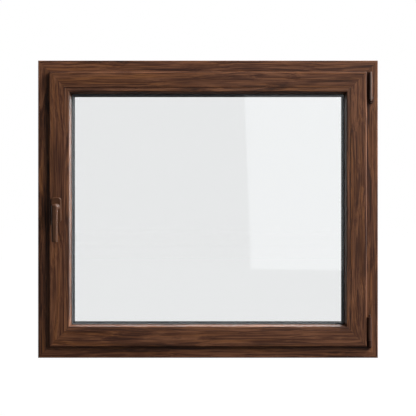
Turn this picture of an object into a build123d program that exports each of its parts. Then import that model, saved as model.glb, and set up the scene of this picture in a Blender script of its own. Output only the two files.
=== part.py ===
"""Single-sash PVC window with a wood-grain foil finish, drawn closed.

Every long piece is a mitred bar. Its section is drawn once, with the distance in from the window's
outer edge across the page and the depth of the window up the page. The section then runs along each
of the four sides and is cut at 45 degrees at both corners, as the real profiles are sawn and welded.

Millimetres. X points right as seen from the room, Y points outdoors and Z points up.
The origin is the centre of the frame's underside, which sits on the wall's sill.
"""

import os

from build123d import *

# Overall size of the window
window_width = 1200.0
window_height = 1050.0

# Walls of the hollow profiles
profile_wall = 2.8
profile_web = 1.6  # between two chambers
bead_wall = 1.8

# Outer frame profile
frame_depth = 70.0
frame_room_height = 49.0  # outer edge to the rebate, on the room side
frame_upstand_rise = 19.0  # rebate to the tip of the outdoor upstand
frame_upstand = 11.0  # thickness of the outdoor upstand
frame_edge_round = 2.5
drain_channel_width = 14.0
drain_channel_drop = 4.0
anchor_groove_width = 9.0  # T-slots in the outer edge for fixing straps
anchor_groove_mouth = 6.0
anchor_groove_depth = 5.0
anchor_groove_lip = 1.5
anchor_groove_spacing = 36.0
frame_chambers = 4  # on the room side of the drain chamber

# Sash profile
sash_overlap = 8.0  # how far the lip covers the frame's room face
sash_lip = 10.0  # thickness of the lip
lip_gap = 5.0  # room between lip and frame, closed by a gasket
hardware_gap = 12.0  # room between frame rebate and sash for locks and stays
upstand_gap = 4.0  # room between sash and frame upstand, closed by a gasket
sash_face = 56.0  # lip edge to the glazing bead
sash_edge_round = 4.0
glazing_wall = 14.5  # thickness of the sash outside the glass
glazing_upstand = 25.5  # height of that wall above the glazing rebate
glazing_bevel = 11.0
hardware_groove_width = 16.0
hardware_groove_depth = 6.0
hardware_groove_inset = 28.0  # lip underside to the middle of the groove
sash_chambers = 4

# Glazing bead
bead_height = 20.3
bead_bevel_height = 6.0
bead_nose = 4.0  # straight part between the bevel and the glass side
bead_recess = 1.0  # how far the bead stays behind the sash face
bead_foot_height = 5.5
bead_foot_width = 3.0
bead_foot_inset = 7.0  # glass side of the bead to the foot
bead_foot_clearance = 0.3

# Gaskets
gasket_foot = 3.0
gasket_groove_depth = 3.0
glass_gasket = 3.5  # thickness beside each face of the glass
lip_gasket_width = 5.0
lip_gasket_setback = 1.5  # lip edge to the gasket
frame_gasket_width = 7.0
frame_gasket_show = 0.8  # how far it shows past the upstand
frame_gasket_setback = 4.0  # tip of the upstand to the middle of the foot
bead_gasket_show = 3.0  # how far it shows past the bead
outer_gasket_show = 3.5  # how far it shows past the sash outdoors
outer_gasket_setback = 4.5  # tip of the sash to the middle of the foot
glass_gasket_width = 10.0
gasket_nose_share = 0.45  # nose radius as a share of the thickness

# Sealed glass unit
pane_thickness = 4.0
glass_cavity = 16.0
glass_edge_gap = 5.0  # glazing rebate to the edge of the glass
spacer_height = 8.0
spacer_setback = 13.5  # edge of the glass to the spacer
spacer_corner = 2.5

# Handle
handle_backset = 25.0  # sash edge to the spindle
spindle_rise = 6.0  # spindle above mid-height
rosette_width = 37.0
rosette_height = 90.0
rosette_depth = 11.0
rosette_corner = 12.0
rosette_bevel = 3.0
rosette_drop = 9.0  # spindle above the middle of the rosette
collar_radius = 14.5
collar_height = 3.0
neck_radius = 10.0
neck_flare = 4.0  # length of the cone from collar to neck
lever_drop = 120.0  # spindle to the end of the grip
lever_rise = 11.0  # spindle to the top of the grip
lever_gap = 45.0  # sash face to the back of the grip
lever_thickness = 13.0
lever_top_width = 22.0
lever_end_width = 19.0
lever_top_corner = 9.0
lever_front_round = 6.5
lever_back_round = 2.0
lever_end_bevel = 1.5

# Hinges
hinge_sash_gap = 1.5  # sash edge to the hinge parts on the frame
hinge_stand = 10.5  # frame face to the hinge axis
lower_barrel_radius = 8.5
bearing_side = 6.0  # lower hinge axis to the side of the bearing next to the sash
upper_barrel_radius = 3.8
upper_barrel_gap = 11.3  # sash edge to the upper barrel, where the stay arm passes
upper_barrel_crown = 0.8  # how far the front of the upper barrel bulges
hinge_plate = 3.0
cover_top_bevel = 2.0
bearing_bottom_bevel = 5.0
knuckle_gap = 1.5
lower_pin_radius = 3.5
upper_pin_radius = 2.0
hinge_pin_clearance = 0.1
upper_cover_height = 96.0
cover_foot_height = 11.0
foot_flare = 4.0
foot_round = 2.0
lug_gap = 6.5  # cover to the lug that carries the pin
lug_height = 5.0
plate_drop = 4.5  # lug to the lower end of the plate
upper_pin_seat = 14.0  # how far the pin reaches into the cover
upper_pin_show = 3.0
lower_band_height = 80.0
lower_bearing_height = 28.0
lower_bearing_drop = 6.0  # how far the bearing reaches below the sash
band_clearance = 2.0  # frame face to the band
cap_height = 10.0
cap_radius = 4.5

# Drain caps outdoors
drain_cap_width = 46.0
drain_cap_height = 14.0
drain_cap_depth = 6.0
drain_cap_slope = 3.0
drain_cap_level = 15.0  # bottom of the window to the bottom of a cap
drain_cap_inset = 250.0  # end of the sill to the middle of a cap
drain_mouth_height = 8.0
drain_mouth_depth = 2.5
drain_mouth_wall = 2.0
drain_slot_length = 30.0
drain_slot_width = 5.0
drain_slot_rise = 1.5  # bottom of a cap to the slot behind it
drain_slot_stagger = 80.0  # slot in the channel to the slot outdoors

# Depths, from the room to the outdoors
room_y = -frame_depth / 2
outer_y = frame_depth / 2
upstand_y = outer_y - frame_upstand
lip_y = room_y - lip_gap
sash_room_y = lip_y - sash_lip
channel_y = upstand_y - drain_channel_width
sash_outer_y = upstand_y - upstand_gap
glazing_y = sash_outer_y - glazing_wall
outer_pane_y = glazing_y - glass_gasket - pane_thickness / 2
inner_pane_y = outer_pane_y - pane_thickness - glass_cavity
bead_glass_y = inner_pane_y - pane_thickness / 2 - glass_gasket
bead_room_y = sash_room_y + bead_recess
bead_nose_y = bead_glass_y - bead_nose
bead_foot_y = bead_glass_y - bead_foot_inset

# Distances in from the window's outer edge
frame_outer_height = frame_room_height + frame_upstand_rise
channel_floor = frame_room_height - drain_channel_drop
sash_edge = frame_room_height - sash_overlap
sash_back = frame_room_height + hardware_gap
bead_line = sash_edge + sash_face
bead_edge = bead_line + bead_height
sash_tip = bead_line + glazing_upstand
glass_edge = bead_line + glass_edge_gap
lip_gasket_middle = sash_edge + lip_gasket_setback + lip_gasket_width / 2
frame_gasket_tip = frame_outer_height + frame_gasket_show
frame_gasket_foot = frame_outer_height - frame_gasket_setback
outer_gasket_tip = sash_tip + outer_gasket_show
outer_gasket_foot = sash_tip - outer_gasket_setback
bead_gasket_tip = bead_edge + bead_gasket_show

# The four sides: a plane across each side at its middle, and the side's full length.
# In each plane X runs in from the outer edge and Y runs outdoors.
half_width = window_width / 2
half_height = window_height / 2
sides = {
    "bottom": (Plane((0, 0, 0), x_dir=(0, 0, 1), z_dir=(-1, 0, 0)), window_width),
    "top": (Plane((0, 0, window_height), x_dir=(0, 0, -1), z_dir=(1, 0, 0)), window_width),
    "left": (Plane((-half_width, 0, half_height), x_dir=(1, 0, 0), z_dir=(0, 0, 1)), window_height),
    "right": (Plane((half_width, 0, half_height), x_dir=(-1, 0, 0), z_dir=(0, 0, -1)), window_height),
}


def corner(sketch, across, depth):
    """The corner of a section that lies nearest to a place."""
    return sketch.vertices().sort_by_distance((across, depth, 0))[0]


def chamber_row(low, high, start, end, count=1):
    """Chambers of equal width side by side, from one depth to another, with a web between each two."""
    width = (end - start - (count - 1) * profile_web) / count
    with BuildSketch() as row:
        for place in range(count):
            with Locations((low, start + place * (width + profile_web))):
                Rectangle(high - low, width, align=(Align.MIN, Align.MIN))
    return row.sketch


def frame_section():
    """L-shaped frame: room face, rebate with a drain channel, outdoor upstand, anchor grooves, chambers."""
    hollow_low = anchor_groove_depth + profile_wall
    hollow_high = channel_floor - profile_wall
    hollow_end = outer_y - profile_wall
    room_row = chamber_row(
        hollow_low,
        frame_room_height - profile_wall,
        room_y + profile_wall,
        channel_y - profile_web,
        frame_chambers,
    )
    drain_row = chamber_row(hollow_low, hollow_high, channel_y, hollow_end)
    upstand_row = chamber_row(
        hollow_high + profile_web,
        frame_gasket_foot - gasket_foot / 2 - profile_wall,
        upstand_y + profile_wall,
        hollow_end,
    )
    with BuildSketch() as section:
        with BuildLine():
            Polyline(
                (0, room_y),
                (frame_room_height, room_y),
                (frame_room_height, channel_y),
                (channel_floor, channel_y + drain_channel_drop),
                (channel_floor, upstand_y),
                (frame_outer_height, upstand_y),
                (frame_outer_height, outer_y),
                (0, outer_y),
                close=True,
            )
        make_face()
        fillet(corner(section, 0, room_y), frame_edge_round)
        fillet(corner(section, frame_room_height, room_y), frame_edge_round / 3)
        fillet(corner(section, frame_outer_height, outer_y), frame_edge_round)
        fillet(corner(section, 0, outer_y), frame_edge_round / 3)
        with Locations((0, anchor_groove_spacing / 2), (0, -anchor_groove_spacing / 2)):
            Rectangle(
                anchor_groove_lip,
                anchor_groove_mouth,
                align=(Align.MIN, Align.CENTER),
                mode=Mode.SUBTRACT,
            )
        with Locations(
            (anchor_groove_lip, anchor_groove_spacing / 2),
            (anchor_groove_lip, -anchor_groove_spacing / 2),
        ):
            Rectangle(
                anchor_groove_depth - anchor_groove_lip,
                anchor_groove_width,
                align=(Align.MIN, Align.CENTER),
                mode=Mode.SUBTRACT,
            )
        with Locations((frame_gasket_foot, upstand_y)):
            Rectangle(
                gasket_foot,
                gasket_groove_depth,
                align=(Align.CENTER, Align.MIN),
                mode=Mode.SUBTRACT,
            )
        for row in (room_row, drain_row, upstand_row):
            add(row, mode=Mode.SUBTRACT)
    return section.sketch


def sash_section():
    """Z-shaped sash: lip over the frame, hardware groove, glazing rebate, bevelled wall, chambers."""
    hollow_low = sash_back + hardware_groove_depth + profile_wall
    hollow_high = bead_line - bead_foot_height - bead_foot_clearance - profile_wall
    hollow_start = sash_room_y + profile_wall
    hollow_end = sash_outer_y - profile_wall
    body_row = chamber_row(hollow_low, hollow_high, hollow_start, hollow_end, sash_chambers)
    lip_row = chamber_row(
        lip_gasket_middle + gasket_foot / 2 + profile_wall,
        hollow_low - profile_web,
        hollow_start,
        lip_y - profile_wall,
    )
    wall_row = chamber_row(
        hollow_high + profile_web,
        sash_tip - glazing_bevel - profile_wall / 2,
        glazing_y + profile_wall,
        hollow_end,
    )
    with BuildSketch() as section:
        with BuildLine():
            Polyline(
                (sash_edge, sash_room_y),
                (bead_line, sash_room_y),
                (bead_line, glazing_y),
                (sash_tip, glazing_y),
                (sash_tip, sash_outer_y - glazing_bevel),
                (sash_tip - glazing_bevel, sash_outer_y),
                (sash_back, sash_outer_y),
                (sash_back, lip_y),
                (sash_edge, lip_y),
                close=True,
            )
        make_face()
        fillet(corner(section, sash_edge, sash_room_y), sash_edge_round)
        fillet(corner(section, bead_line, sash_room_y), sash_edge_round / 3)
        fillet(corner(section, sash_tip - glazing_bevel, sash_outer_y), sash_edge_round)
        fillet(corner(section, sash_back, sash_outer_y), sash_edge_round / 3)
        fillet(corner(section, sash_edge, lip_y), sash_edge_round / 4)
        with Locations((sash_back, lip_y + hardware_groove_inset)):
            Rectangle(
                hardware_groove_depth,
                hardware_groove_width,
                align=(Align.MIN, Align.CENTER),
                mode=Mode.SUBTRACT,
            )
        with Locations((bead_line, bead_foot_y)):
            Rectangle(
                bead_foot_height + bead_foot_clearance,
                bead_foot_width + 2 * bead_foot_clearance,
                align=(Align.MAX, Align.CENTER),
                mode=Mode.SUBTRACT,
            )
        with Locations((lip_gasket_middle, lip_y)):
            Rectangle(
                gasket_foot,
                gasket_groove_depth,
                align=(Align.CENTER, Align.MAX),
                mode=Mode.SUBTRACT,
            )
        with Locations((outer_gasket_foot, glazing_y)):
            Rectangle(
                gasket_foot,
                gasket_groove_depth,
                align=(Align.CENTER, Align.MIN),
                mode=Mode.SUBTRACT,
            )
        for row in (body_row, lip_row, wall_row):
            add(row, mode=Mode.SUBTRACT)
    return section.sketch


def bead_section():
    """Hollow glazing bead: flat strip beside the sash face, bevel down to the glass, foot that snaps in."""
    with BuildSketch() as section:
        with BuildLine():
            Polyline(
                (bead_line, bead_room_y),
                (bead_edge - bead_bevel_height, bead_room_y),
                (bead_edge, bead_nose_y),
                (bead_edge, bead_glass_y),
                (bead_line, bead_glass_y),
                close=True,
            )
        make_face()
        offset(amount=-bead_wall, kind=Kind.INTERSECTION, mode=Mode.SUBTRACT)
        fillet(corner(section, bead_line, bead_room_y), sash_edge_round / 3)
        fillet(corner(section, bead_edge - bead_bevel_height, bead_room_y), sash_edge_round)
        fillet(corner(section, bead_edge, bead_nose_y), sash_edge_round / 2)
        with Locations((bead_line, bead_foot_y)):
            Rectangle(bead_foot_height, bead_foot_width, align=(Align.MAX, Align.CENTER))
    return section.sketch


def gasket_section(tip, width, seat_y, touch_y, foot=None):
    """Rubber strip from the face that carries it to the face it presses on, with a round nose at the tip.

    A negative width puts the body on the other side of the tip. The foot is the middle of the groove.
    """
    thickness = abs(touch_y - seat_y)
    outdoors = 1 if seat_y > touch_y else -1
    with BuildSketch() as section:
        with Locations((tip - width / 2, (seat_y + touch_y) / 2)):
            Rectangle(abs(width), thickness)
        nose = section.vertices().group_by(Axis.X)[-1 if width > 0 else 0]
        fillet(nose, thickness * gasket_nose_share)
        if foot is not None:
            with Locations((foot, seat_y + outdoors * gasket_groove_depth / 2)):
                Rectangle(gasket_foot, gasket_groove_depth)
    return section.sketch


def spacer_section():
    """Metal spacer between the panes, with its two outer corners cut off."""
    with BuildSketch() as section:
        with Locations((glass_edge + spacer_setback, (outer_pane_y + inner_pane_y) / 2)):
            Rectangle(spacer_height, glass_cavity, align=(Align.MIN, Align.CENTER))
        chamfer(section.vertices().group_by(Axis.X)[0], spacer_corner)
    return section.sketch


def save(piece, name):
    """Names a finished piece and writes it."""
    piece.label = name
    export_step(piece, f"parts/{name}.step")


def mitred_bar(section, side):
    """The section run along one side of the window and cut at 45 degrees at both corners."""
    plane, length = sides[side]
    with BuildPart() as bar:
        with BuildSketch(plane):
            add(section)
        extrude(amount=length / 2, both=True)
        for end in (1, -1):
            outer_corner = plane.origin + plane.z_dir * (end * length / 2)
            mitre = Plane(outer_corner, z_dir=plane.x_dir + plane.z_dir * end)
            split(bisect_by=mitre, keep=Keep.BOTTOM)
    return bar.part


def save_ring(section, names):
    """A mitred bar for each named side of the window."""
    for side, name in names.items():
        save(mitred_bar(section, side), name)


def drained(sill):
    """The sill with slots that lead water from the channel into a chamber and out behind the caps."""
    reach = half_width - drain_cap_inset
    channel_middle = (channel_y + drain_channel_drop + upstand_y) / 2
    with BuildPart() as bar:
        add(sill)
        with Locations(
            (-reach + drain_slot_stagger, channel_middle, channel_floor),
            (reach - drain_slot_stagger, channel_middle, channel_floor),
        ):
            Box(
                drain_slot_length,
                drain_slot_width,
                profile_wall,
                align=(Align.CENTER, Align.CENTER, Align.MAX),
                mode=Mode.SUBTRACT,
            )
        slot_z = drain_cap_level + drain_slot_rise
        with Locations((-reach, outer_y, slot_z), (reach, outer_y, slot_z)):
            Box(
                drain_slot_length,
                profile_wall,
                drain_slot_width,
                align=(Align.CENTER, Align.MAX, Align.MIN),
                mode=Mode.SUBTRACT,
            )
    return bar.part


def strip_names(kind):
    """Names for four like strips."""
    return {side: f"{kind}_{side}" for side in sides}


def save_profiles():
    """The welded frame, the welded sash and the beads that hold the glass."""
    frame = frame_section()
    save(drained(mitred_bar(frame, "bottom")), "frame_sill")
    save_ring(
        frame, {"top": "frame_head", "left": "frame_jamb_left", "right": "frame_jamb_right"}
    )
    save_ring(
        sash_section(),
        {
            "bottom": "sash_bottom_rail",
            "top": "sash_top_rail",
            "left": "sash_lock_stile",
            "right": "sash_hinge_stile",
        },
    )
    save_ring(bead_section(), strip_names("glazing_bead"))


def save_gaskets():
    """Rubber strips: under the sash lip, on the frame's upstand and on both faces of the glass."""
    lip_tip = sash_edge + lip_gasket_setback
    save_ring(
        gasket_section(lip_tip, -lip_gasket_width, lip_y, room_y, lip_gasket_middle),
        strip_names("lip_gasket"),
    )
    save_ring(
        gasket_section(
            frame_gasket_tip, frame_gasket_width, upstand_y, sash_outer_y, frame_gasket_foot
        ),
        strip_names("frame_gasket"),
    )
    outer_glass_y = outer_pane_y + pane_thickness / 2
    save_ring(
        gasket_section(
            outer_gasket_tip, glass_gasket_width, glazing_y, outer_glass_y, outer_gasket_foot
        ),
        strip_names("outer_glass_gasket"),
    )
    inner_glass_y = inner_pane_y - pane_thickness / 2
    save_ring(
        gasket_section(bead_gasket_tip, glass_gasket_width, bead_glass_y, inner_glass_y),
        strip_names("bead_gasket"),
    )


def save_glass():
    """Two panes and the spacer that keeps them apart."""
    pane_width = window_width - 2 * glass_edge
    pane_height = window_height - 2 * glass_edge
    for name, middle in (("inner_pane", inner_pane_y), ("outer_pane", outer_pane_y)):
        with BuildPart() as pane:
            with BuildSketch(Plane.XZ.offset(-middle)):
                with Locations((0, half_height)):
                    Rectangle(pane_width, pane_height)
            extrude(amount=pane_thickness / 2, both=True)
        save(pane.part, name)
    save_ring(spacer_section(), strip_names("glass_spacer"))


def save_handle():
    """Rosette with a collar on the lock stile, and a lever whose neck carries a tapered grip."""
    handle_x = -half_width + sash_edge + handle_backset
    spindle_z = half_height + spindle_rise
    rosette_y = sash_room_y - rosette_depth
    collar_y = rosette_y - collar_height

    with BuildPart() as rosette:
        with BuildSketch(Plane.XZ.offset(-sash_room_y)):
            with Locations((handle_x, spindle_z - rosette_drop)):
                RectangleRounded(rosette_width, rosette_height, rosette_corner)
        extrude(amount=rosette_depth)
        chamfer(rosette.faces().sort_by(Axis.Y)[0].edges(), rosette_bevel)
        with BuildSketch(Plane.XZ.offset(-rosette_y)):
            with Locations((handle_x, spindle_z)):
                Circle(collar_radius)
        extrude(amount=collar_height)
    save(rosette.part, "handle_rosette")

    grip_top = spindle_z + lever_rise
    grip_end = spindle_z - lever_drop
    grip_back = sash_room_y - lever_gap
    grip_middle = grip_back - lever_thickness / 2
    with BuildPart() as lever:
        with BuildSketch(Plane.XZ.offset(-grip_back)) as outline:
            with BuildLine():
                Polyline(
                    (handle_x - lever_top_width / 2, grip_top),
                    (handle_x + lever_top_width / 2, grip_top),
                    (handle_x + lever_end_width / 2, grip_end),
                    (handle_x - lever_end_width / 2, grip_end),
                    close=True,
                )
            make_face()
            fillet(outline.vertices().group_by(Axis.Y)[-1], lever_top_corner)
        extrude(amount=lever_thickness)
        # The front is rounded down both sides and over the top; the end is cut square
        fillet(lever.faces().sort_by(Axis.Y)[0].edges().sort_by(Axis.Z)[1:], lever_front_round)
        fillet(lever.faces().sort_by(Axis.Y)[-1].edges().sort_by(Axis.Z)[1:], lever_back_round)
        chamfer(lever.faces().sort_by(Axis.Z)[0].edges(), lever_end_bevel)
        with BuildSketch(Plane.YZ.offset(handle_x)):
            with BuildLine():
                Polyline(
                    (collar_y, spindle_z),
                    (collar_y, spindle_z + collar_radius),
                    (collar_y - neck_flare, spindle_z + neck_radius),
                    (grip_middle, spindle_z + neck_radius),
                    (grip_middle, spindle_z),
                    close=True,
                )
            make_face()
        revolve(axis=Axis((handle_x, 0, spindle_z), (0, 1, 0)))
    save(lever.part, "handle_lever")


def barrel_sketch(left, right, shoulder_y, back_y, reach):
    """Plan of a hinge barrel: round towards the room, straight sides back to what carries it.

    The round starts at the depth shoulder_y and stands out by its reach.
    """
    with BuildSketch() as plan:
        with BuildLine():
            ThreePointArc(
                (left, shoulder_y),
                ((left + right) / 2, shoulder_y - reach),
                (right, shoulder_y),
            )
            Polyline((right, shoulder_y), (right, back_y), (left, back_y), (left, shoulder_y))
        make_face()
    return plan.sketch


def save_hinges():
    """Upper stay bearing and lower corner hinge, both on the right as seen from the room."""
    sash_side_x = half_width - sash_edge
    hinge_left_x = sash_side_x + hinge_sash_gap
    axis_y = room_y - hinge_stand
    plate_y = room_y - hinge_plate
    sash_top = window_height - sash_edge

    # Upper bearing: plate on the frame, and a lug below the cover that carries the pin
    left = sash_side_x + upper_barrel_gap
    right = left + 2 * upper_barrel_radius
    axis_x = left + upper_barrel_radius
    shoulder_y = axis_y - upper_barrel_radius + upper_barrel_crown
    bore = upper_pin_radius + hinge_pin_clearance
    cover_bottom = sash_top - upper_cover_height
    lug_bottom = cover_bottom - lug_gap - lug_height
    plate_bottom = lug_bottom - plate_drop
    with BuildPart() as bearing:
        with BuildSketch(Plane.XZ.offset(-room_y)):
            with Locations((hinge_left_x, plate_bottom)):
                Rectangle(
                    right - hinge_left_x,
                    sash_top - plate_bottom,
                    align=(Align.MIN, Align.MIN),
                )
        extrude(amount=hinge_plate)
        with BuildSketch(Plane.XY.offset(lug_bottom)):
            add(barrel_sketch(left, right + foot_flare, shoulder_y, room_y, upper_barrel_crown))
        extrude(amount=lug_height)
        with Locations((axis_x, axis_y, lug_bottom)):
            Cylinder(
                bore,
                lug_height,
                align=(Align.CENTER, Align.CENTER, Align.MIN),
                mode=Mode.SUBTRACT,
            )
    save(bearing.part, "upper_hinge_bearing")

    with BuildPart() as cover:
        with BuildSketch(Plane.XY.offset(cover_bottom)):
            add(barrel_sketch(left, right, shoulder_y, plate_y, upper_barrel_crown))
        extrude(amount=upper_cover_height)
        chamfer(cover.faces().sort_by(Axis.Z)[-1].edges().sort_by(Axis.Y)[:-1], cover_top_bevel)
        # The lower end flares away from the sash
        with BuildSketch(Plane.XZ.offset(-plate_y)) as foot:
            foot_top = cover_bottom + cover_foot_height
            with BuildLine():
                Polyline(
                    (left, cover_bottom),
                    (right + foot_flare, cover_bottom),
                    (right + foot_flare, foot_top - foot_flare),
                    (right, foot_top),
                    (left, foot_top),
                    close=True,
                )
            make_face()
            fillet(corner(foot, right + foot_flare, cover_bottom), foot_round)
        extrude(amount=plate_y - shoulder_y)
        with Locations((axis_x, axis_y, cover_bottom)):
            Cylinder(
                bore,
                upper_pin_seat,
                align=(Align.CENTER, Align.CENTER, Align.MIN),
                mode=Mode.SUBTRACT,
            )
    save(cover.part, "upper_hinge_cover")

    pin_bottom = lug_bottom - upper_pin_show
    pin_top = cover_bottom + upper_pin_seat
    with BuildPart() as pin:
        with Locations((axis_x, axis_y, pin_bottom)):
            Cylinder(
                upper_pin_radius,
                pin_top - pin_bottom,
                align=(Align.CENTER, Align.CENTER, Align.MIN),
            )
        chamfer(pin.edges().group_by(Axis.Z)[0], upper_pin_radius / 4)
    save(pin.part, "upper_hinge_pin")

    # Lower hinge: bearing on the frame, band on the sash edge, pin between them, cap on top
    axis_x = hinge_left_x + lower_barrel_radius
    left = axis_x - bearing_side
    right = axis_x + lower_barrel_radius
    bore = lower_pin_radius + hinge_pin_clearance
    bearing_bottom = sash_edge - lower_bearing_drop
    bearing_top = bearing_bottom + lower_bearing_height
    band_bottom = bearing_top + knuckle_gap
    band_top = band_bottom + lower_band_height
    with BuildPart() as lower_bearing:
        with BuildSketch(Plane.XY.offset(bearing_bottom)):
            add(barrel_sketch(left, right, axis_y, room_y, (right - left) / 2))
        extrude(amount=lower_bearing_height)
        chamfer(
            lower_bearing.faces().sort_by(Axis.Z)[0].edges().sort_by(Axis.Y)[:-1],
            bearing_bottom_bevel,
        )
        with Locations((axis_x, axis_y, bearing_top)):
            Cylinder(
                bore,
                lower_bearing_height / 2,
                align=(Align.CENTER, Align.CENTER, Align.MAX),
                mode=Mode.SUBTRACT,
            )
    save(lower_bearing.part, "lower_hinge_bearing")

    band_y = room_y - band_clearance
    with BuildPart() as band:
        with BuildSketch(Plane.XY.offset(band_bottom)):
            add(barrel_sketch(sash_side_x, right, axis_y, band_y, lower_barrel_radius))
        extrude(amount=lower_band_height)
        with Locations((axis_x, axis_y, band_bottom)):
            Cylinder(
                bore,
                lower_bearing_height / 2,
                align=(Align.CENTER, Align.CENTER, Align.MIN),
                mode=Mode.SUBTRACT,
            )
    save(band.part, "lower_hinge_band")

    with BuildPart() as lower_pin:
        with Locations((axis_x, axis_y, bearing_top - lower_bearing_height / 2)):
            Cylinder(
                lower_pin_radius,
                lower_bearing_height + knuckle_gap,
                align=(Align.CENTER, Align.CENTER, Align.MIN),
            )
    save(lower_pin.part, "lower_hinge_pin")

    with BuildPart() as cap:
        with Locations((axis_x, axis_y, band_top)):
            Cylinder(cap_radius, cap_height, align=(Align.CENTER, Align.CENTER, Align.MIN))
        chamfer(cap.edges().group_by(Axis.Z)[-1], cap_radius / 3)
    save(cap.part, "lower_hinge_cap")


def save_drain_caps():
    """Hoods over the drain slots, low on the outdoor face of the sill."""
    reach = half_width - drain_cap_inset
    with BuildPart() as caps:
        with BuildSketch(Plane.YZ):
            with BuildLine():
                Polyline(
                    (outer_y, drain_cap_level),
                    (outer_y + drain_cap_depth, drain_cap_level),
                    (outer_y + drain_cap_depth - drain_cap_slope, drain_cap_level + drain_cap_height),
                    (outer_y, drain_cap_level + drain_cap_height),
                    close=True,
                )
            make_face()
        extrude(amount=drain_cap_width / 2, both=True)
        fillet(caps.edges().filter_by(Axis.X).sort_by(Axis.Z)[-1], drain_cap_slope / 3)
        with Locations((0, outer_y, drain_cap_level)):
            Box(
                drain_cap_width - 2 * drain_mouth_wall,
                drain_mouth_depth,
                drain_mouth_height,
                align=(Align.CENTER, Align.MIN, Align.MIN),
                mode=Mode.SUBTRACT,
            )
    with BuildPart() as pair:
        with Locations((-reach, 0, 0), (reach, 0, 0)):
            add(caps.part)
    save(pair.part, "drain_caps")


os.makedirs("parts", exist_ok=True)
save_profiles()
save_gaskets()
save_glass()
save_handle()
save_hinges()
save_drain_caps()
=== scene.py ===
"""Finishes, stage and camera for a wood-grain PVC window.

Laid out as an add-on and run as a script. The window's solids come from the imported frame; this file
gives them their foil, rubber, glass and lacquer, adds the small pieces that the solids leave out,
and sets the studio round them.
"""

import math

import bpy
from mathutils import Euler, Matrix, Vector


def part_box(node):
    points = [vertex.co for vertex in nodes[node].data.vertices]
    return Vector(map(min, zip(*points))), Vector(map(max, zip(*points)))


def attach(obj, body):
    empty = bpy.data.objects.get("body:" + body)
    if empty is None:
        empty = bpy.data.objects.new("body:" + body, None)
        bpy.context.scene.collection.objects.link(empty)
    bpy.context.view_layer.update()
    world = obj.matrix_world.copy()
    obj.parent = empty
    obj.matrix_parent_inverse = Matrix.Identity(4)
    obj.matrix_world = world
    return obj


bl_info = {
    "name": "Wood-grain PVC window",
    "version": (1, 0, 0),
    "blender": (4, 5, 0),
    "location": "3D View > Sidebar > Window",
    "description": "Finishes and studio for a PVC window with a wood-grain foil",
    "category": "Object",
}

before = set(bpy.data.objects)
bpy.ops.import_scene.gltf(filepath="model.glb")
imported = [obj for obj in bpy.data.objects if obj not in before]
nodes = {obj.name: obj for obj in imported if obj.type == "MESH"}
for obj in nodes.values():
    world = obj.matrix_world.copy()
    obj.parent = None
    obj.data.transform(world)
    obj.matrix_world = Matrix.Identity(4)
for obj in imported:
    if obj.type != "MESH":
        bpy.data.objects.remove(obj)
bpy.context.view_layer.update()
sill_low, sill_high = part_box("frame_sill")
head_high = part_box("frame_head")[1]
WINDOW_WIDTH = sill_high.x - sill_low.x
WINDOW_HEIGHT = head_high.z - sill_low.z
ROOM_FACE = sill_low.y
OUTDOOR_FACE = sill_high.y
SIDES = ("bottom", "top", "left", "right")
WHITE = (1.0, 1.0, 1.0, 1.0)
RAILS = {
    "frame": ("frame_sill", "frame_head"),
    "sash": ("sash_bottom_rail", "sash_top_rail"),
    "bead": ("glazing_bead_bottom", "glazing_bead_top"),
}
STILES = {
    "frame": ("frame_jamb_left", "frame_jamb_right"),
    "sash": ("sash_lock_stile", "sash_hinge_stile"),
    "bead": ("glazing_bead_left", "glazing_bead_right"),
}

# Where each member's foil lies in the endless grain
GRAIN_PLACES = {"frame": (3.1, 7.7, 2.4), "sash": (11.4, 2.9, 14.1), "bead": (6.2, 13.5, 14.3)}
# Width of a bend or knot is its length over this
BEND_SLENDERNESS = 4.0
# Share of a knot that has its full shade
KNOT_HEART = 0.3
# Rates of the other layers along and across the grain, as multiples of the streaks' rates
BAND_RATES = (0.6, 0.13)
GOLD_RATES = (0.5, 0.35)
FIBRE_RATES = (2.5, 4.5)
SPECK_RATES = (5.0, 7.0)
# Growth rings: slant through the depth, rate against the veins' and sway with the bands
RING_SLANT = 0.6
RING_RATE = 1.4
RING_SWAY = 26.0
# How much each layer of the grain counts, and what brings their sum to the middle of the ramp
STREAK_WEIGHT = 2.1
BAND_WEIGHT = 0.9
FIBRE_WEIGHT = 0.9
RING_WEIGHT = 0.07
KNOT_WEIGHT = 0.3
TONE_OFFSET = 1.43
DARK_STOP, MIDDLE_STOP, LIGHT_STOP = 0.18, 0.50, 0.84
GOLD_TINT = (1.12, 1.05, 0.74, 1.0)
# How far pores and weld lines go towards the dark grain
PORE_SHADE = 0.4
SEAM_SHADE = 0.55
# Share of a weld line that has its full depth
SEAM_HEART = 0.4
# Tone of the bare core's darker fibres, and how much rougher than the foil the core is
CORE_FIBRE_TONE = 0.75
CORE_ROUGHER = 0.3

# Direction from the window, distance and width of each lamp
SOFTBOXES = {
    "key": ((0.68, -0.50, 0.54), 12.0, 4.8),
    "rim": ((0.70, -0.10, 0.69), 10.0, 2.0),
    "fill": ((0.28, -0.94, 0.14), 6.2, 3.0),
}
# Middle of the glow, and the cosines of the angles from it where the glow ends and is full
GLOW_FROM = Vector((0.72, 0.48, 0.42)).normalized()
GLOW_END, GLOW_FULL = 0.5, 0.78
DAYLIGHT = (0.98, 0.99, 1.0, 1.0)
FLOOR_HALF = 30.0
# Shares of the floor's half width between which it fades away
FLOOR_FADE_START, FLOOR_FADE_END = 0.25, 0.95
# How much of the floor's own look is covered with white for the camera, and how bright that is
FLOOR_WHITE = 0.95
FLOOR_WHITE_STRENGTH = 1.05
SENSOR_WIDTH = 36.0


def opaque(shade):
    """A colour with its alpha, as a colour socket takes it."""
    return (*shade, 1.0)


def toned(shade, factor):
    """A colour made paler or darker."""
    return tuple(min(1.0, part * factor) for part in shade)


def even(rate):
    """The same scale along each axis."""
    return (rate, rate, rate)


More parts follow.
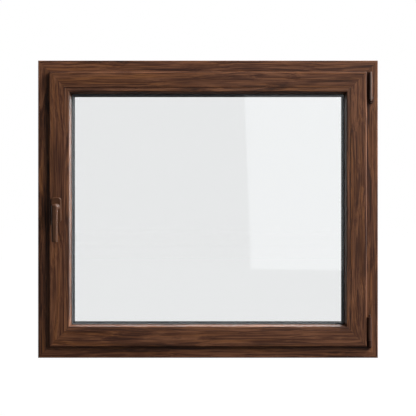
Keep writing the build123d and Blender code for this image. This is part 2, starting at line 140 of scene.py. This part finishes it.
class Value:
    """A value in a node tree: one output socket. Arithmetic on it adds Math nodes."""

    def __init__(self, tree, socket):
        self.tree = tree
        self.socket = socket

    def math(self, operation, first, second=0.0):
        """One Math node."""
        return self.tree.node("ShaderNodeMath", {"operation": operation}, {0: first, 1: second})

    def __add__(self, other):
        return self.math("ADD", self, other)

    __radd__ = __add__

    def __sub__(self, other):
        return self.math("SUBTRACT", self, other)

    def __rsub__(self, other):
        return self.math("SUBTRACT", other, self)

    def __mul__(self, other):
        return self.math("MULTIPLY", self, other)

    def __truediv__(self, other):
        return self.math("DIVIDE", self, other)

    def __pow__(self, other):
        return self.math("POWER", self, other)

    def __abs__(self):
        return self.math("ABSOLUTE", self)

    def __gt__(self, other):
        return self.math("GREATER_THAN", self, other)

    def sine(self):
        """The sine of the value."""
        return self.math("SINE", self)

    def between(self, low, high):
        """0 below low, 1 above high and a smooth step from one to the other."""
        return self.tree.node(
            "ShaderNodeMapRange",
            {"interpolation_type": "SMOOTHSTEP", "clamp": True},
            {0: self, 1: low, 2: high, 3: 0.0, 4: 1.0},
        )

    def also(self, output):
        """Another output of the same node."""
        return Value(self.tree, self.socket.node.outputs[output])


class Tree:
    """A node tree while it is being built."""

    def __init__(self, inside):
        self.inside = inside

    def node(self, kind, settings=None, sockets=None, output=0):
        """Adds a node: its settings first, then the values or links of its sockets."""
        made = self.inside.nodes.new(kind)
        for name, value in (settings or {}).items():
            if name == "stops":
                ramp = made.color_ramp.elements
                while len(ramp) < len(value):
                    ramp.new(1.0)
                for element, (position, shade) in zip(ramp, value):
                    element.position = position
                    element.color = opaque(shade)
            else:
                setattr(made, name, value)
        for name, value in (sockets or {}).items():
            if isinstance(value, Value):
                self.inside.links.new(value.socket, made.inputs[name])
            else:
                made.inputs[name].default_value = value
        return Value(self, made.outputs[output]) if made.outputs else None

    def split(self, vector):
        """The three parts of a vector."""
        first = self.node("ShaderNodeSeparateXYZ", None, {"Vector": vector})
        return first, first.also("Y"), first.also("Z")

    def inputs(self, sizes):
        """Named inputs with their defaults, as values."""
        for name, size in sizes.items():
            socket = self.inside.interface.new_socket(
                name, in_out="INPUT", socket_type="NodeSocketFloat"
            )
            socket.default_value = size
        given = self.node("NodeGroupInput")
        return {name: given.also(name) for name in sizes}


class Finish(Tree):
    """A material or a world while its nodes are being built."""

    def __init__(self, owner, coordinates="Object"):
        self.owner = owner
        owner.use_nodes = True
        super().__init__(owner.node_tree)
        self.inside.nodes.clear()
        self.place = self.node("ShaderNodeTexCoord", output=coordinates)

    def edges(self):
        """Distances inwards from the window's nearer side and from its nearer end."""
        x, _, z = self.split(self.place)
        return WINDOW_WIDTH / 2 - abs(x), WINDOW_HEIGHT / 2 - abs(z - WINDOW_HEIGHT / 2)

    def mapped(self, scale, shift):
        """The piece's own place, moved and with its own scale along each axis."""
        return self.node(
            "ShaderNodeMapping", None, {"Vector": self.place, "Location": shift, "Scale": scale}
        )

    def noise(self, scale, detail=2.0, roughness=0.5, distortion=0.0, shift=(0.0, 0.0, 0.0)):
        """Noise in the piece's own place, with its own scale along each axis."""
        return self.node(
            "ShaderNodeTexNoise",
            None,
            {
                "Vector": self.mapped(scale, shift),
                "Scale": 1.0,
                "Detail": detail,
                "Roughness": roughness,
                "Distortion": distortion,
            },
        )

    def cells(self, scale, shift):
        """Distance to the nearest of many scattered points, with its own scale along each axis."""
        vector = self.mapped(scale, shift)
        return self.node("ShaderNodeTexVoronoi", None, {"Vector": vector, "Scale": 1.0})

    def drift(self, offset, upright):
        """Moves the place to the side of the grain, which runs up the piece or across it."""
        sideways = {"X" if upright else "Z": offset, "Y": offset}
        step = self.node("ShaderNodeCombineXYZ", None, sideways)
        add = {"operation": "ADD"}
        self.place = self.node("ShaderNodeVectorMath", add, {0: self.place, 1: step})

    def mix(self, factor, first, second, blend="MIX"):
        """Two colours mixed."""
        return self.node(
            "ShaderNodeMix",
            {"data_type": "RGBA", "blend_type": blend},
            {0: factor, 6: first, 7: second},
            2,
        )

    def bump(self, height, strength, distance):
        """A normal that follows a height in metres times distance."""
        return self.node(
            "ShaderNodeBump", None, {"Strength": strength, "Distance": distance, "Height": height}
        )

    def surface(self, sockets):
        """Ends the material in one Principled shader."""
        return self.end(self.node("ShaderNodeBsdfPrincipled", None, sockets))

    def end(self, shader, kind="ShaderNodeOutputMaterial"):
        """Ends the nodes in a shader and gives what they belong to."""
        self.node(kind, None, {"Surface": shader})
        return self.owner


def new_finish(name):
    """An empty material."""
    return Finish(bpy.data.materials.new(name))


def colour(name, text, default):
    """A colour that a user can change."""
    return bpy.props.FloatVectorProperty(
        name=name, description=text, default=default, size=3, subtype="COLOR", min=0.0, max=1.0
    )


def length(name, text, default):
    """A length that a user can change, in metres."""
    return bpy.props.FloatProperty(
        name=name, description=text, default=default, min=0.0, unit="LENGTH", precision=4
    )


def share(name, text, default):
    """A share from 0 to 1 that a user can change."""
    return bpy.props.FloatProperty(
        name=name, description=text, default=default, min=0.0, max=1.0, subtype="FACTOR"
    )


def power(name, text, default):
    """A lamp's power in watts that a user can change."""
    return bpy.props.FloatProperty(
        name=name, description=text, default=default, min=0.0, unit="POWER"
    )


class FoilSettings(bpy.types.PropertyGroup):
    """Wood-grain foil on frame, sash and beads."""

    dark: colour("Dark grain", "Colour of the dark veins", (0.030, 0.0100, 0.0046))
    middle: colour("Ground", "Colour between the veins", (0.084, 0.0302, 0.0138))
    light: colour("Light grain", "Colour of the pale streaks", (0.176, 0.0715, 0.0335))
    roughness: share("Roughness", "Roughness of the foil", 0.46)
    gloss: share("Gloss", "Mirror strength of the foil on frame and sash", 0.28)
    bead_gloss: share("Bead gloss", "Mirror strength of the foil on the beads", 0.36)
    vein: length("Vein width", "Width of one vein across the grain", 0.0043)
    streak: length("Streak length", "Length of one streak along the grain", 0.22)
    drift: length("Drift", "How far the grain wanders to the side", 0.040)
    bend: length("Bend length", "Distance along the grain between two bends", 0.40)
    knot: length("Knot length", "Length of one knot along the grain", 0.022)
    seam: length("Seam width", "Width of the scraped weld line at a mitre", 0.0009)
    core: colour("Core", "PVC that is bare on the frame's outer edge", (0.052, 0.022, 0.012))
    core_depth: length("Core depth", "How far in from the outer edge the core is bare", 0.0065)
    foil_turn: length("Foil turn", "How far the foil turns round the outer corners", 0.006)


class GlassSettings(bpy.types.PropertyGroup):
    """Sealed glass unit."""

    tint: colour("Tint", "Light that one face of the glass lets through", (0.979, 0.982, 0.983))
    index: bpy.props.FloatProperty(
        name="Refraction",
        description="Refractive index of float glass",
        default=1.52,
        min=1.0,
        max=2.5,
    )
    spacer: colour("Spacer flank", "Metal foil on the spacer's flanks", (0.53, 0.56, 0.58))
    # Painted shade: the spacer's plastic side is dark plastic, kept nearly black so that it reads as
    # shaded
    shaded_spacer_side: colour("Spacer side", "Plastic of the spacer's body", (0.010, 0.011, 0.012))
    foil_wrap: length("Foil wrap", "How far the foil reaches round the spacer's edges", 0.0004)
    # Painted shade: the plastic rim beside the foil is also nearly black, standing in for the shade
    # at the glass edge
    shaded_bare_rim: length("Bare rim", "Height of the plastic that stands out of the foil", 0.0020)
    slit_pitch: length("Slit pitch", "Distance between two breathing slits of the spacer", 0.008)
    slit_length: length("Slit length", "Length of one slit", 0.0022)
    slit_width: length("Slit width", "Width of one slit", 0.0007)
    slit_rows: length("Row spacing", "Distance between the two rows of slits", 0.006)
    corner_key: length("Corner key", "Length at each corner that has no slits", 0.03)


class HardwareSettings(bpy.types.PropertyGroup):
    """Rubber, lacquer and plastic of the small parts."""

    rubber: colour("Gasket", "Colour of the rubber strips", (0.013, 0.013, 0.013))
    handle: colour("Handle", "Lacquer of the handle", (0.056, 0.023, 0.011))
    # Painted highlight and painted shade: the cover's paler lacquer and the other parts' darker one
    # are a lit and a shaded copy of the hinges' one brown lacquer
    hinge_cover: colour("Hinge cover", "Lacquer of the upper hinge's cover", (0.098, 0.050, 0.034))
    hinge: colour("Hinge", "Lacquer of the other hinge parts", (0.036, 0.015, 0.009))
    drain: colour("Drain cap", "Plastic of the drain caps", (0.040, 0.020, 0.012))


class StudioSettings(bpy.types.PropertyGroup):
    """Floor, light and camera."""

    floor: colour("Floor", "Colour of the floor as the window sees it", (0.045, 0.045, 0.045))
    distance: length("Camera distance", "Camera to the room face of the frame", 4.5)
    lens: bpy.props.FloatProperty(
        name="Lens",
        description="Focal length on a 36 mm sensor",
        default=110.3,
        min=10.0,
        unit="CAMERA",
    )
    rise: length("Camera rise", "Camera above the middle of the window", 0.0042)
    sky: share("Sky", "Light from all round", 0.05)
    outdoors: share("Outdoors", "Light from all of the outdoor side", 0.80)
    left: share("Left", "Light from the left outdoors", 1.0)
    room: share("Room", "Light from low down on the room side", 0.11)
    glow: bpy.props.FloatProperty(
        name="Glow", description="Light from the upper right outdoors", default=6.4, min=0.0
    )
    key: power("Key light", "Power of the large lamp at the upper right", 1480.0)
    rim: power("Rim light", "Power of the lamp that grazes the window from the right", 1250.0)
    fill: power("Fill light", "Power of the lamp beside the camera", 18.0)


def paint(names, material):
    """Gives CAD nodes a material."""
    for name in names:
        slots = nodes[name].data.materials
        slots.clear()
        slots.append(material)


def foil_finish(name, settings, upright, shift, gloss):
    """Walnut foil whose grain runs up the piece or across it.

    The mitres have a scraped weld line, and the frame's outer edge shows the bare core.
    """
    finish = new_finish(name)
    along_rate = 1.0 / settings.streak
    across_rate = 1.0 / settings.vein

    def stretched(along, across):
        """A scale that lies along the grain."""
        return (across, across, along) if upright else (along, across, across)

    def layer(rates):
        """The scale of one layer of the grain."""
        return stretched(along_rate * rates[0], across_rate * rates[1])

    y = finish.split(finish.place)[1]
    edge_x, edge_z = finish.edges()

    bend_rate = 1.0 / settings.bend
    bend_scale = stretched(bend_rate, bend_rate * BEND_SLENDERNESS)
    knot_size = settings.knot * bend_rate
    knot = 1 - finish.cells(bend_scale, shift).between(knot_size * KNOT_HEART, knot_size)
    finish.drift((finish.noise(bend_scale, shift=shift) - 0.5) * settings.drift, upright)
    across = finish.split(finish.place)[0 if upright else 2]

    streaks = finish.noise(
        stretched(along_rate, across_rate), detail=4.0, roughness=0.57, distortion=0.35, shift=shift
    )
    bands = finish.noise(layer(BAND_RATES), shift=shift)
    gold = finish.noise(layer(GOLD_RATES), distortion=0.2, shift=shift[::-1])
    fibres = finish.noise(layer(FIBRE_RATES), roughness=0.6, distortion=0.1, shift=shift)
    pores = finish.noise(layer(SPECK_RATES), detail=1.0, shift=shift).between(0.60, 0.70)
    ring_rate = across_rate * RING_RATE
    rings = ((across + y * RING_SLANT) * ring_rate + bands * RING_SWAY).sine()
    tone = (
        streaks * STREAK_WEIGHT
        + bands * BAND_WEIGHT
        + fibres * FIBRE_WEIGHT
        + rings * RING_WEIGHT
        - knot * KNOT_WEIGHT
        - TONE_OFFSET
    )

    stops = (
        (DARK_STOP, settings.dark),
        (MIDDLE_STOP, settings.middle),
        (LIGHT_STOP, settings.light),
    )
    veined = finish.node("ShaderNodeValToRGB", {"stops": stops}, {"Fac": tone})
    tinted = finish.mix(gold.between(0.45, 0.72), veined, GOLD_TINT, "MULTIPLY")
    pored = finish.mix(pores * PORE_SHADE, tinted, opaque(settings.dark))

    seam = 1 - abs(edge_x - edge_z).between(settings.seam * SEAM_HEART, settings.seam)
    worn = finish.mix(seam * SEAM_SHADE, pored, opaque(settings.dark))

    outside = 1 - (edge_x > settings.core_depth) * (edge_z > settings.core_depth)
    past_room_foil = y > ROOM_FACE + settings.foil_turn
    past_outdoor_foil = y > OUTDOOR_FACE - settings.foil_turn
    bare = outside * (past_room_foil - past_outdoor_foil)
    core_dark = toned(settings.core, CORE_FIBRE_TONE)
    core = finish.mix(fibres, opaque(core_dark), opaque(settings.core))
    covered = finish.mix(bare, worn, core)

    height = fibres * 0.5 - pores * 0.6 - seam
    uneven = (streaks - 0.5) * 0.22 + pores * 0.1
    return finish.surface(
        {
            "Base Color": covered,
            "Roughness": settings.roughness + uneven + bare * CORE_ROUGHER,
            "Specular IOR Level": gloss,
            "Normal": finish.bump(height, strength=0.35, distance=0.0004),
        }
    )


class WINDOW_OT_foil(bpy.types.Operator):
    """Covers frame, sash and beads with wood-grain foil"""

    bl_idname = "window.foil"
    bl_label = "Wood-grain foil"

    def execute(self, context):
        settings = context.scene.window_foil
        for member, shift in GRAIN_PLACES.items():
            gloss = settings.bead_gloss if member == "bead" else settings.gloss
            across = foil_finish(f"{member}_foil_across", settings, False, shift, gloss)
            paint(RAILS[member], across)
            upright = foil_finish(f"{member}_foil_upright", settings, True, shift, gloss)
            paint(STILES[member], upright)
        return {"FINISHED"}


class WINDOW_OT_gaskets(bpy.types.Operator):
    """Gives every rubber strip a dull black finish"""

    bl_idname = "window.gaskets"
    bl_label = "Gaskets"

    def execute(self, context):
        settings = context.scene.window_hardware
        finish = new_finish("black_rubber")
        bloom = finish.noise(even(60.0), detail=3.0, roughness=0.6)
        grit = finish.noise(even(2600.0), detail=1.0)
        pale = opaque(toned(settings.rubber, 1.9))
        tone = finish.mix(bloom.between(0.45, 0.75), opaque(settings.rubber), pale)
        rubber = finish.surface(
            {
                "Base Color": tone,
                "Roughness": 0.55 + bloom * 0.25,
                "Specular IOR Level": 0.25,
                "Normal": finish.bump(grit, strength=0.25, distance=0.0001),
            }
        )
        kinds = ("lip_gasket", "frame_gasket", "outer_glass_gasket", "bead_gasket")
        paint([f"{kind}_{side}" for kind in kinds for side in SIDES], rubber)
        return {"FINISHED"}


class WINDOW_OT_glass(bpy.types.Operator):
    """Gives the two panes clear float glass, and the spacer its plastic side and foil flanks"""

    bl_idname = "window.glass"
    bl_label = "Glass unit"

    def execute(self, context):
        settings = context.scene.window_glass
        finish = new_finish("float_glass")
        film = finish.noise((2.2, 2.2, 1.4), detail=3.0).between(0.35, 0.75)
        clear = finish.node("ShaderNodeBsdfTransparent", None, {"Color": opaque(settings.tint)})
        gloss = finish.node(
            "ShaderNodeBsdfPrincipled",
            None,
            {
                "Base Color": (0.80, 0.83, 0.85, 1.0),
                "Metallic": 1.0,
                "Roughness": 0.015 + film * 0.02,
            },
        )
        slant = finish.node("ShaderNodeLayerWeight", None, {"Blend": 0.5}, "Facing")
        straight = ((settings.index - 1.0) / (settings.index + 1.0)) ** 2
        mirror = slant**5.0 * (1.0 - straight) + straight
        either = finish.node("ShaderNodeMixShader", None, {0: mirror, 1: clear, 2: gloss})
        glass = finish.end(either)
        glass.surface_render_method = "BLENDED"
        paint(("inner_pane", "outer_pane"), glass)

        spacer_low, spacer_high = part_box("glass_spacer_bottom")
        metal = new_finish("spacer_bar")
        depth = abs(metal.split(metal.place)[1] - (spacer_low.y + spacer_high.y) / 2)
        outer = depth > (spacer_high.y - spacer_low.y) / 2 - settings.foil_wrap
        foil_top = spacer_high.z - sill_low.z - settings.shaded_bare_rim
        edge_x, edge_z = metal.edges()
        flank = outer * (1 - (edge_x > foil_top) * (edge_z > foil_top))
        lines = metal.noise(even(900.0), roughness=0.6)
        stain = metal.noise(even(25.0), detail=3.0, roughness=0.6)
        foil = metal.mix(stain, opaque(toned(settings.spacer, 0.7)), opaque(settings.spacer))
        spacer = metal.surface(
            {
                # Painted shade: off the foiled flanks the spacer is nearly black plastic, which
                # stands in for the shade at the glass edge
                "Base Color": metal.mix(flank, opaque(settings.shaded_spacer_side), foil),
                "Metallic": flank * 0.35,
                "Roughness": 0.40 + lines * 0.2,
                "Specular IOR Level": 0.1,
                "Normal": metal.bump(lines, strength=0.2, distance=0.0001),
            }
        )
        paint([f"glass_spacer_{side}" for side in SIDES], spacer)
        return {"FINISHED"}


def slit_tree(sizes, place, material):
    """Geometry nodes: two rows of slits round a rectangle that stands upright about a place.

    The slits face the middle of the rectangle and stay clear of its corners.
    """
    tree = Tree(bpy.data.node_groups.new("spacer_slits", "GeometryNodeTree"))
    size = tree.inputs(sizes)
    tree.inside.interface.new_socket("Slits", in_out="OUTPUT", socket_type="NodeSocketGeometry")

    flat = tree.node(
        "GeometryNodeCurvePrimitiveQuadrilateral",
        {"mode": "RECTANGLE"},
        {"Width": size["Width"], "Height": size["Height"]},
    )
    quarter_turn = (math.radians(90.0), 0.0, 0.0)
    upright = tree.node(
        "GeometryNodeTransform", None, {"Geometry": flat, "Rotation": quarter_turn}
    )
    points = tree.node(
        "GeometryNodeCurveToPoints", {"mode": "LENGTH"}, {"Curve": upright, "Length": size["Pitch"]}
    )
    x, _, z = tree.split(tree.node("GeometryNodeInputPosition"))
    near_side = abs(x) > size["Width"] * 0.5 - size["Corner key"]
    near_end = abs(z) > size["Height"] * 0.5 - size["Corner key"]
    kept = tree.node(
        "GeometryNodeDeleteGeometry",
        {"domain": "POINT"},
        {"Geometry": points, "Selection": near_side * near_end},
    )

    along = points.also("Tangent")
    inward = tree.node(
        "ShaderNodeVectorMath", {"operation": "CROSS_PRODUCT"}, {0: along, 1: (0.0, 1.0, 0.0)}
    )
    facing = tree.node("FunctionNodeAlignRotationToVector", {"axis": "Z"}, {"Vector": inward})
    turned = tree.node(
        "FunctionNodeAlignRotationToVector",
        {"axis": "X", "pivot_axis": "Z"},
        {"Rotation": facing, "Vector": along},
    )
    slit = tree.node(
        "GeometryNodeMeshCylinder",
        {"fill_type": "NGON"},
        {"Vertices": 8, "Radius": size["Slit width"] * 0.5, "Depth": size["Slit width"]},
    )
    slender = size["Slit length"] / size["Slit width"]
    stretch = tree.node("ShaderNodeCombineXYZ", None, {"X": slender, "Y": 1.0, "Z": 1.0})
    row = tree.node(
        "GeometryNodeInstanceOnPoints",
        None,
        {"Points": kept, "Instance": slit, "Rotation": turned, "Scale": stretch},
    )
    both = tree.node("GeometryNodeJoinGeometry")
    for half in (-0.5, 0.5):
        across = tree.node("ShaderNodeCombineXYZ", None, {"Y": size["Row spacing"] * half})
        moved = tree.node(
            "ShaderNodeVectorMath", {"operation": "ADD"}, {0: across, 1: tuple(place)}
        )
        shifted = tree.node("GeometryNodeTransform", None, {"Geometry": row, "Translation": moved})
        tree.inside.links.new(shifted.socket, both.socket.node.inputs[0])
    real = tree.node("GeometryNodeRealizeInstances", None, {"Geometry": both})
    painted = tree.node("GeometryNodeSetMaterial", None, {"Geometry": real, "Material": material})
    tree.node("NodeGroupOutput", None, {0: painted})
    return tree.inside


def grown(name, tree, sizes):
    """A plain mesh object with what a geometry tree makes."""
    piece = bpy.data.objects.new(name, bpy.data.meshes.new(name))
    bpy.context.scene.collection.objects.link(piece)
    modifier = piece.modifiers.new(name, "NODES")
    modifier.node_group = tree
    for socket in tree.interface.items_tree:
        if socket.in_out == "INPUT":
            modifier[socket.identifier] = sizes[socket.name]
    whole = piece.evaluated_get(bpy.context.evaluated_depsgraph_get())
    mesh = bpy.data.meshes.new_from_object(whole)
    piece.modifiers.clear()
    piece.data = mesh
    if not mesh.polygons:
        raise RuntimeError(f"{name} came out empty")
    return piece


class WINDOW_OT_spacer_slits(bpy.types.Operator):
    """Adds the two rows of breathing slits along the inner side of the spacer"""

    bl_idname = "window.spacer_slits"
    bl_label = "Spacer slits"

    def execute(self, context):
        settings = context.scene.window_glass
        left_low, left_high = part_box("glass_spacer_left")
        right_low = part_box("glass_spacer_right")[0]
        bottom_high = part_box("glass_spacer_bottom")[1]
        top_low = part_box("glass_spacer_top")[0]
        sizes = {
            "Width": right_low.x - left_high.x,
            "Height": top_low.z - bottom_high.z,
            "Pitch": settings.slit_pitch,
            "Slit length": settings.slit_length,
            "Slit width": settings.slit_width,
            "Row spacing": settings.slit_rows,
            "Corner key": settings.corner_key,
        }
        place = Vector(
            (
                (left_high.x + right_low.x) / 2,
                (left_low.y + left_high.y) / 2,
                (bottom_high.z + top_low.z) / 2,
            )
        )
        # Painted shade: the slits are solid pieces whose near-black colour stands for the shade
        # inside the holes, mottled by noise towards a paler shade
        finish = new_finish("slit_shade")
        dust = finish.noise(even(900.0))
        dark, paler_shade = opaque((0.010, 0.010, 0.010)), opaque((0.045, 0.043, 0.040))
        shade = finish.surface(
            {
                "Base Color": finish.mix(dust, dark, paler_shade),
                "Roughness": 0.75 + dust * 0.2,
                "Specular IOR Level": 0.1,
            }
        )
        slits = grown("spacer_slits", slit_tree(sizes, place, shade), sizes)
        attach(slits, "root")
        return {"FINISHED"}


def lacquer_finish(name, base, roughness, gloss):
    """Stove lacquer on die-cast metal, with slight orange peel and thin, paler dust."""
    finish = new_finish(name)
    peel = finish.noise(even(700.0))
    dust = finish.noise(even(45.0), detail=4.0, roughness=0.6).between(0.42, 0.72)
    return finish.surface(
        {
            "Base Color": finish.mix(dust * 0.6, opaque(base), opaque(toned(base, 1.5))),
            "Roughness": roughness + dust * 0.14,
            "Specular IOR Level": gloss,
            "Normal": finish.bump(peel, strength=0.12, distance=0.0002),
        }
    )


class WINDOW_OT_handle(bpy.types.Operator):
    """Lacquers the handle"""

    bl_idname = "window.handle"
    bl_label = "Handle"

    def execute(self, context):
        base = context.scene.window_hardware.handle
        lever = lacquer_finish("lever_lacquer", base, roughness=0.46, gloss=0.20)
        paint(("handle_lever",), lever)
        rosette = lacquer_finish("rosette_lacquer", base, roughness=0.55, gloss=0.12)
        paint(("handle_rosette",), rosette)
        return {"FINISHED"}


class WINDOW_OT_hinges(bpy.types.Operator):
    """Lacquers the hinges, with a paler lacquer as painted highlight on the upper cover and the pins,
    and a darker one as painted shade on the other parts
    """

    bl_idname = "window.hinges"
    bl_label = "Hinges"

    def execute(self, context):
        settings = context.scene.window_hardware
        cover = settings.hinge_cover
        # Painted highlight: the paler lacquer stands in for light on the upper cover and the pins
        satin = lacquer_finish("satin_lacquer", cover, roughness=0.50, gloss=0.75)
        paint(("upper_hinge_cover", "upper_hinge_pin", "lower_hinge_pin"), satin)
        # Painted shade: the darker lacquer stands in for shade on the bearings in their pocket and on
        # the lower hinge's band and cap
        dull = lacquer_finish("dull_lacquer", settings.hinge, roughness=0.58, gloss=0.08)
        paint(("upper_hinge_bearing", "lower_hinge_bearing"), dull)
        paint(("lower_hinge_band", "lower_hinge_cap"), dull)
        return {"FINISHED"}


class WINDOW_OT_drains(bpy.types.Operator):
    """Gives the drain caps a moulded plastic finish"""

    bl_idname = "window.drains"
    bl_label = "Drain caps"

    def execute(self, context):
        base = context.scene.window_hardware.drain
        finish = new_finish("moulded_plastic")
        grain = finish.noise(even(1500.0))
        cloud = finish.noise(even(60.0), detail=3.0)
        plastic = finish.surface(
            {
                "Base Color": finish.mix(cloud, opaque(base), opaque(toned(base, 1.4))),
                "Roughness": 0.5 + cloud * 0.15,
                "Specular IOR Level": 0.25,
                "Normal": finish.bump(grain, strength=0.2, distance=0.0001),
            }
        )
        paint(("drain_caps",), plastic)
        return {"FINISHED"}


def look_at(thing, target):
    """Turns a lamp or camera towards a point."""
    thing.rotation_euler = (Vector(target) - thing.location).to_track_quat("-Z", "Y").to_euler()


def add_softbox(name, middle, towards, distance, size, watts):
    """A square lamp that faces the window from one direction and stays out of the picture."""
    lamp = bpy.data.lights.new(name, "AREA")
    lamp.size = size
    lamp.energy = watts
    thing = bpy.data.objects.new(name, lamp)
    thing.location = middle + Vector(towards).normalized() * distance
    look_at(thing, middle)
    thing.visible_camera = False
    bpy.context.scene.collection.objects.link(thing)


def white_when_seen(finish, shader, share_seen):
    """A shader that the camera sees almost white and that the window sees as it is."""
    white = {"Color": WHITE, "Strength": FLOOR_WHITE_STRENGTH}
    seen = finish.node("ShaderNodeEmission", None, white)
    path = finish.node("ShaderNodeLightPath", output="Is Camera Ray")
    return finish.node("ShaderNodeMixShader", None, {0: path * share_seen, 1: shader, 2: seen})


class WINDOW_OT_studio(bpy.types.Operator):
    """Sets the floor, the light and the camera"""

    bl_idname = "window.studio"
    bl_label = "Studio"

    def execute(self, context):
        scene = context.scene
        settings = scene.window_studio
        middle = Vector((0.0, ROOM_FACE, WINDOW_HEIGHT / 2))

        mesh = bpy.data.meshes.new("studio_floor")
        signs = ((-1, -1), (1, -1), (1, 1), (-1, 1))
        corners = [(x * FLOOR_HALF, y * FLOOR_HALF, 0.0) for x, y in signs]
        mesh.from_pydata(corners, [], [(0, 1, 2, 3)])
        floor = bpy.data.objects.new("studio_floor", mesh)
        scene.collection.objects.link(floor)
        finish = new_finish("pale_floor")
        mottle = finish.noise(even(3.0), detail=3.0)
        shaded = opaque(toned(settings.floor, 0.9))
        ground = finish.node(
            "ShaderNodeBsdfPrincipled",
            None,
            {
                "Base Color": finish.mix(mottle, opaque(settings.floor), shaded),
                "Roughness": 0.9,
                "Specular IOR Level": 0.1,
            },
        )
        far = finish.node(
            "ShaderNodeVectorMath", {"operation": "LENGTH"}, {0: finish.place}, "Value"
        )
        fade = far.between(FLOOR_HALF * FLOOR_FADE_START, FLOOR_HALF * FLOOR_FADE_END)
        gone = finish.node("ShaderNodeBsdfTransparent")
        near = white_when_seen(finish, ground, FLOOR_WHITE)
        fading = finish.node("ShaderNodeMixShader", None, {0: fade, 1: near, 2: gone})
        mesh.materials.append(finish.end(fading))

        sky = Finish(bpy.data.worlds.new("studio"), "Generated")
        facing = sky.node(
            "ShaderNodeVectorMath",
            {"operation": "DOT_PRODUCT"},
            {0: sky.place, 1: GLOW_FROM},
            "Value",
        )
        rightwards, outwards, upwards = sky.split(sky.place)
        glow = facing.between(GLOW_END, GLOW_FULL) * settings.glow
        outdoors = outwards.between(0.2, 0.8) * settings.outdoors
        left = (0 - rightwards).between(0.3, 0.9) * outwards.between(-0.1, 0.3) * settings.left
        low = 1 - upwards.between(0.04, 0.35)
        room = (0 - outwards).between(0.0, 0.3) * low * settings.room
        strength = glow + outdoors + left + room + settings.sky
        light = sky.node("ShaderNodeBackground", None, {"Color": DAYLIGHT, "Strength": strength})
        seen = sky.node("ShaderNodeBackground", None, {"Color": WHITE})
        path = sky.node("ShaderNodeLightPath", output="Is Camera Ray")
        either = sky.node("ShaderNodeMixShader", None, {0: path, 1: light, 2: seen})
        scene.world = sky.end(either, "ShaderNodeOutputWorld")

        for name, (towards, distance, size) in SOFTBOXES.items():
            watts = getattr(settings, name)
            add_softbox(f"{name}_softbox", middle, towards, distance, size, watts)

        lens = bpy.data.cameras.new("photo_camera")
        lens.lens = settings.lens
        lens.sensor_width = SENSOR_WIDTH
        lens.clip_end = 200.0
        camera = bpy.data.objects.new("photo_camera", lens)
        camera.location = middle + Vector((0.0, -settings.distance, settings.rise))
        camera.rotation_euler = Euler((math.radians(90.0), 0.0, 0.0))
        scene.collection.objects.link(camera)
        scene.camera = camera

        scene.view_settings.view_transform = "Standard"
        scene.view_settings.look = "None"
        return {"FINISHED"}


class WINDOW_PT_panel(bpy.types.Panel):
    """The window's finishes and studio"""

    bl_idname = "WINDOW_PT_panel"
    bl_label = "Window"
    bl_space_type = "VIEW_3D"
    bl_region_type = "UI"
    bl_category = "Window"

    def draw(self, context):
        for operator in OPERATORS:
            self.layout.operator(operator.bl_idname)


SETTINGS = {
    "window_foil": FoilSettings,
    "window_glass": GlassSettings,
    "window_hardware": HardwareSettings,
    "window_studio": StudioSettings,
}
OPERATORS = (
    WINDOW_OT_foil,
    WINDOW_OT_gaskets,
    WINDOW_OT_glass,
    WINDOW_OT_spacer_slits,
    WINDOW_OT_handle,
    WINDOW_OT_hinges,
    WINDOW_OT_drains,
    WINDOW_OT_studio,
)


def register():
    """Makes the settings, operators and panel known to Blender."""
    for name, group in SETTINGS.items():
        bpy.utils.register_class(group)
        setattr(bpy.types.Scene, name, bpy.props.PointerProperty(type=group))
    for operator in OPERATORS:
        bpy.utils.register_class(operator)
    bpy.utils.register_class(WINDOW_PT_panel)


def unregister():
    """Takes the settings, operators and panel out again."""
    bpy.utils.unregister_class(WINDOW_PT_panel)
    for operator in reversed(OPERATORS):
        bpy.utils.unregister_class(operator)
    for name, group in reversed(SETTINGS.items()):
        delattr(bpy.types.Scene, name)
        bpy.utils.unregister_class(group)


def main():
    """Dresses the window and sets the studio."""
    register()
    bpy.ops.window.foil()
    bpy.ops.window.gaskets()
    bpy.ops.window.glass()
    bpy.ops.window.spacer_slits()
    bpy.ops.window.handle()
    bpy.ops.window.hinges()
    bpy.ops.window.drains()
    bpy.ops.window.studio()


if __name__ == "__main__":
    main()
